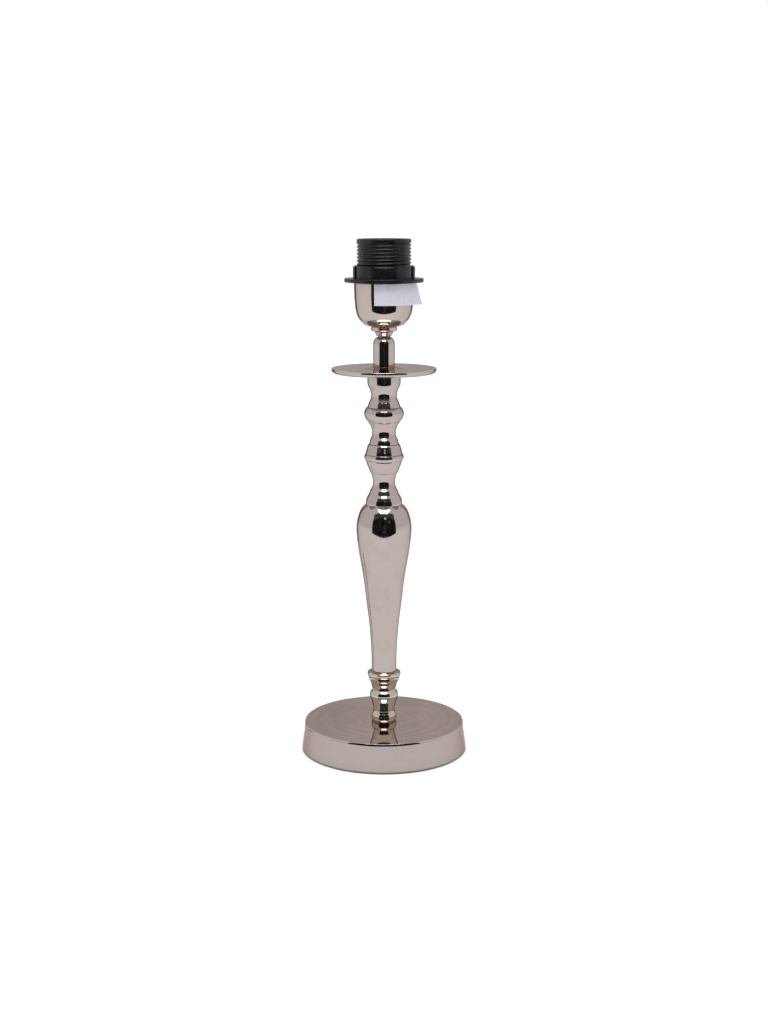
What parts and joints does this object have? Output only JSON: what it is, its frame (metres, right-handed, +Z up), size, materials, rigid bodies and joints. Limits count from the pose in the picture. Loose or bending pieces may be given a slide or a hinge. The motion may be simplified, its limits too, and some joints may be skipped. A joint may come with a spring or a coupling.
{
  "type": "table lamp base",
  "caption": "Table lamp base: weighted round foot, turned column with a drip pan, and a cup with a threaded lampholder whose screw ring clamps a shade.",
  "frame": {"origin": "centre of the felt's resting face", "axes": "+Z up the threaded rod to the lampholder's mouth; the front, with the label, faces -Y and the cord inlet faces +Y"},
  "size_m": [0.1246, 0.1248, 0.3825],
  "materials": {
    "nickel": "polished nickel plate, warm grey, lightly tarnished",
    "zinc_steel": "zinc-plated steel",
    "cast_iron": "rough casting, dark paint",
    "black_plastic": "black moulded plastic, semi-gloss",
    "cap_plastic": "black moulded plastic",
    "bush_plastic": "natural nylon",
    "rubber": "black rubber",
    "felt": "black felt",
    "board": "grey-brown pressed board",
    "ceramic": "unglazed white ceramic",
    "brass": "bare brass",
    "shell_metal": "rolled brass sheet, dulled",
    "contact_bronze": "phosphor bronze strip",
    "label_paper": "white paper label, blank"
  },
  "bodies": {
    "root": {"blank_label": "label_paper", "bottom_plate": "board", "cap_insert": "brass", "cap_lock_screw": "zinc_steel", "contact_block": "ceramic", "contact_rivet": "brass", "cord_bush": "rubber", "cup_washer": "zinc_steel", "drip_pan": "nickel", "foot_felt": "felt", "foot_lock_washer": "zinc_steel", "foot_nut": "zinc_steel", "foot_shell": "nickel", "foot_washer": "zinc_steel", "foot_weight": "cast_iron", "holder_cap": "cap_plastic", "holder_cup": "nickel", "holder_skirt": "black_plastic", "line_terminal": "brass", "lower_knop": "nickel", "neck_piece": "nickel", "neck_tube": "nickel", "neutral_rivet": "brass", "neutral_terminal": "brass", "pan_seat": "nickel", "rod_end_bush": "bush_plastic", "screw_shell": "shell_metal", "seat_nut": "nickel", "shell_rivets": "brass", "stem_collar": "nickel", "terminal_screws": "zinc_steel", "threaded_rod": "zinc_steel", "upper_knop": "nickel", "vase_body": "nickel"},
    "shade_ring": {"shade_ring": "black_plastic"},
    "centre_contact": {"centre_contact": "contact_bronze"}
  },
  "joints": [
    {"name": "ring_travel", "type": "slide", "parent": "root", "child": "shade_ring", "axis": [0, 0, 1], "range_m": [0, 0.0255]},
    {"name": "contact_press", "type": "hinge", "parent": "root", "child": "centre_contact", "pos_m": [0.007, 0, 0.35105], "axis": [0, -1, 0], "range_deg": [0, 7], "stiffness_Nm_per_rad": 0.2}
  ]
}
